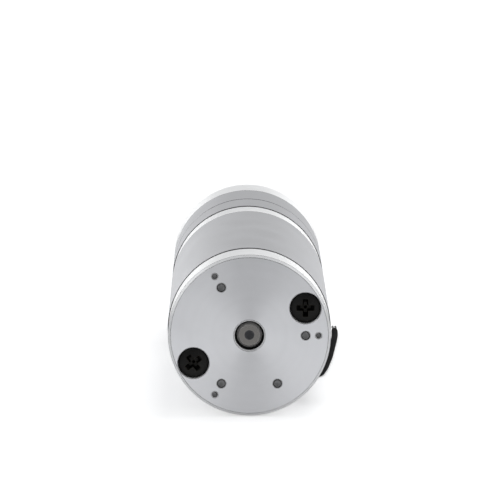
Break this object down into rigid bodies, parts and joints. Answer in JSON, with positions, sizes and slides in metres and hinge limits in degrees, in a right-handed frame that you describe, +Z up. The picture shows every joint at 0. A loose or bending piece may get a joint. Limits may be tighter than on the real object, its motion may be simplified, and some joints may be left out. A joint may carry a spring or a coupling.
{
  "type": "dc gear motor",
  "caption": "Round brushed DC motor with an inline planetary gearbox, a flanged front face, a flatted output shaft and a short two-core lead.",
  "frame": {"origin": "centre of the output flange's front face, on the motor axis", "axes": "+Y along the output shaft, away from the motor; +Z up as the motor lies on its side, with the ground at Z = -26 mm; the rear face is at Y = -165.5 mm"},
  "size_m": [0.0588, 0.1935, 0.052],
  "materials": {
    "turned_aluminium": "turned, fine satin",
    "satin_tube": "satin grey",
    "satin_ring": "satin grey",
    "black_oxide": "black oxide",
    "ferrite": "matte",
    "phenolic": "laminate",
    "brass": "satin",
    "carbon": "matte",
    "spring_steel": "bright",
    "bearing_steel": "polished",
    "cage_brass": "satin",
    "ground_steel": "ground",
    "lamination_steel": "varnished",
    "copper": "enamelled",
    "sintered_steel": "sintered",
    "rubber": "matte",
    "lead_sleeve": "smooth",
    "tinned_copper": "tinned",
    "shield_steel": "pressed sheet",
    "wire_sleeve": "smooth"
  },
  "bodies": {
    "housing": {"rear_cap": "turned_aluminium", "motor_tube": "satin_tube", "front_cap": "turned_aluminium", "ring_gear_1": "satin_ring", "ring_gear_2": "satin_ring", "output_flange": "turned_aluminium", "through_bolts": "black_oxide", "gearbox_screws": "black_oxide", "magnets": "ferrite", "brush_card": "phenolic", "brush_holders": "brass", "brushes": "carbon", "brush_springs": "spring_steel", "brush_leads": "wire_sleeve", "card_screws": "black_oxide", "rear_bearing_outer": "bearing_steel", "front_bearing_outer": "bearing_steel", "bearing_shields": "shield_steel", "wave_washer": "spring_steel", "output_bearing_outers": "bearing_steel", "shaft_seal": "rubber", "bearing_circlip": "spring_steel", "lead_grommet": "rubber", "lead_cable": "lead_sleeve", "lead_tips": "tinned_copper"},
    "rotor": {"motor_shaft": "ground_steel", "armature_core": "lamination_steel", "armature_windings": "copper", "commutator_hub": "phenolic", "commutator_bars": "copper", "rear_bearing_inner": "bearing_steel", "front_bearing_inner": "bearing_steel", "sun_gear_1": "ground_steel"},
    "rear_balls": {"rear_bearing_balls": "bearing_steel", "rear_bearing_cage": "cage_brass"},
    "front_balls": {"front_bearing_balls": "bearing_steel", "front_bearing_cage": "cage_brass"},
    "first_carrier": {"carrier_1": "sintered_steel", "planet_pins_1": "ground_steel", "planet_washers_1": "brass", "planet_retainer_1": "sintered_steel", "sun_gear_2": "ground_steel"},
    "first_planet_a": {"planet_1a": "sintered_steel"},
    "first_planet_b": {"planet_1b": "sintered_steel"},
    "first_planet_c": {"planet_1c": "sintered_steel"},
    "output": {"output_carrier": "ground_steel", "planet_pins_2": "ground_steel", "planet_washers_2": "brass", "planet_retainer_2": "sintered_steel", "output_bearing_inners": "bearing_steel", "shaft_circlip": "spring_steel"},
    "second_planet_a": {"planet_2a": "sintered_steel"},
    "second_planet_b": {"planet_2b": "sintered_steel"},
    "second_planet_c": {"planet_2c": "sintered_steel"},
    "output_balls": {"output_bearing_balls": "bearing_steel", "output_bearing_cages": "cage_brass"}
  },
  "joints": [
    {"name": "rotor_spin", "type": "hinge", "parent": "housing", "child": "rotor", "pos_m": [0, -0.1, 0], "axis": [0, 1, 0], "continuous": true},
    {"name": "rear_balls_spin", "type": "hinge", "parent": "housing", "child": "rear_balls", "pos_m": [0, -0.1571, 0], "axis": [0, 1, 0], "continuous": true},
    {"name": "front_balls_spin", "type": "hinge", "parent": "housing", "child": "front_balls", "pos_m": [0, -0.0625, 0], "axis": [0, 1, 0], "continuous": true},
    {"name": "first_carrier_spin", "type": "hinge", "parent": "housing", "child": "first_carrier", "pos_m": [0, -0.0366, 0], "axis": [0, 1, 0], "continuous": true},
    {"name": "first_planet_a_spin", "type": "hinge", "parent": "first_carrier", "child": "first_planet_a", "pos_m": [0, -0.0442, 0.0135], "axis": [0, 1, 0], "continuous": true},
    {"name": "first_planet_b_spin", "type": "hinge", "parent": "first_carrier", "child": "first_planet_b", "pos_m": [-0.01169, -0.0442, -0.00675], "axis": [0, 1, 0], "continuous": true},
    {"name": "first_planet_c_spin", "type": "hinge", "parent": "first_carrier", "child": "first_planet_c", "pos_m": [0.01169, -0.0442, -0.00675], "axis": [0, 1, 0], "continuous": true},
    {"name": "output_spin", "type": "hinge", "parent": "housing", "child": "output", "pos_m": [0, -0.008, 0], "axis": [0, 1, 0], "continuous": true},
    {"name": "second_planet_a_spin", "type": "hinge", "parent": "output", "child": "second_planet_a", "pos_m": [0, -0.0275, 0.0135], "axis": [0, 1, 0], "continuous": true},
    {"name": "second_planet_b_spin", "type": "hinge", "parent": "output", "child": "second_planet_b", "pos_m": [-0.01169, -0.0275, -0.00675], "axis": [0, 1, 0], "continuous": true},
    {"name": "second_planet_c_spin", "type": "hinge", "parent": "output", "child": "second_planet_c", "pos_m": [0.01169, -0.0275, -0.00675], "axis": [0, 1, 0], "continuous": true},
    {"name": "output_balls_spin", "type": "hinge", "parent": "housing", "child": "output_balls", "pos_m": [0, -0.0082, 0], "axis": [0, 1, 0], "continuous": true}
  ],
  "couplings": [
    {"joint": "rear_balls_spin", "follows": "rotor_spin", "ratio": 0.36667},
    {"joint": "front_balls_spin", "follows": "rotor_spin", "ratio": 0.36667},
    {"joint": "first_carrier_spin", "follows": "rotor_spin", "ratio": 0.27778},
    {"joint": "first_planet_a_spin", "follows": "rotor_spin", "ratio": -0.90278},
    {"joint": "first_planet_b_spin", "follows": "rotor_spin", "ratio": -0.90278},
    {"joint": "first_planet_c_spin", "follows": "rotor_spin", "ratio": -0.90278},
    {"joint": "output_spin", "follows": "rotor_spin", "ratio": 0.077161},
    {"joint": "second_planet_a_spin", "follows": "rotor_spin", "ratio": -0.25077},
    {"joint": "second_planet_b_spin", "follows": "rotor_spin", "ratio": -0.25077},
    {"joint": "second_planet_c_spin", "follows": "rotor_spin", "ratio": -0.25077},
    {"joint": "output_balls_spin", "follows": "rotor_spin", "ratio": 0.0323}
  ]
}
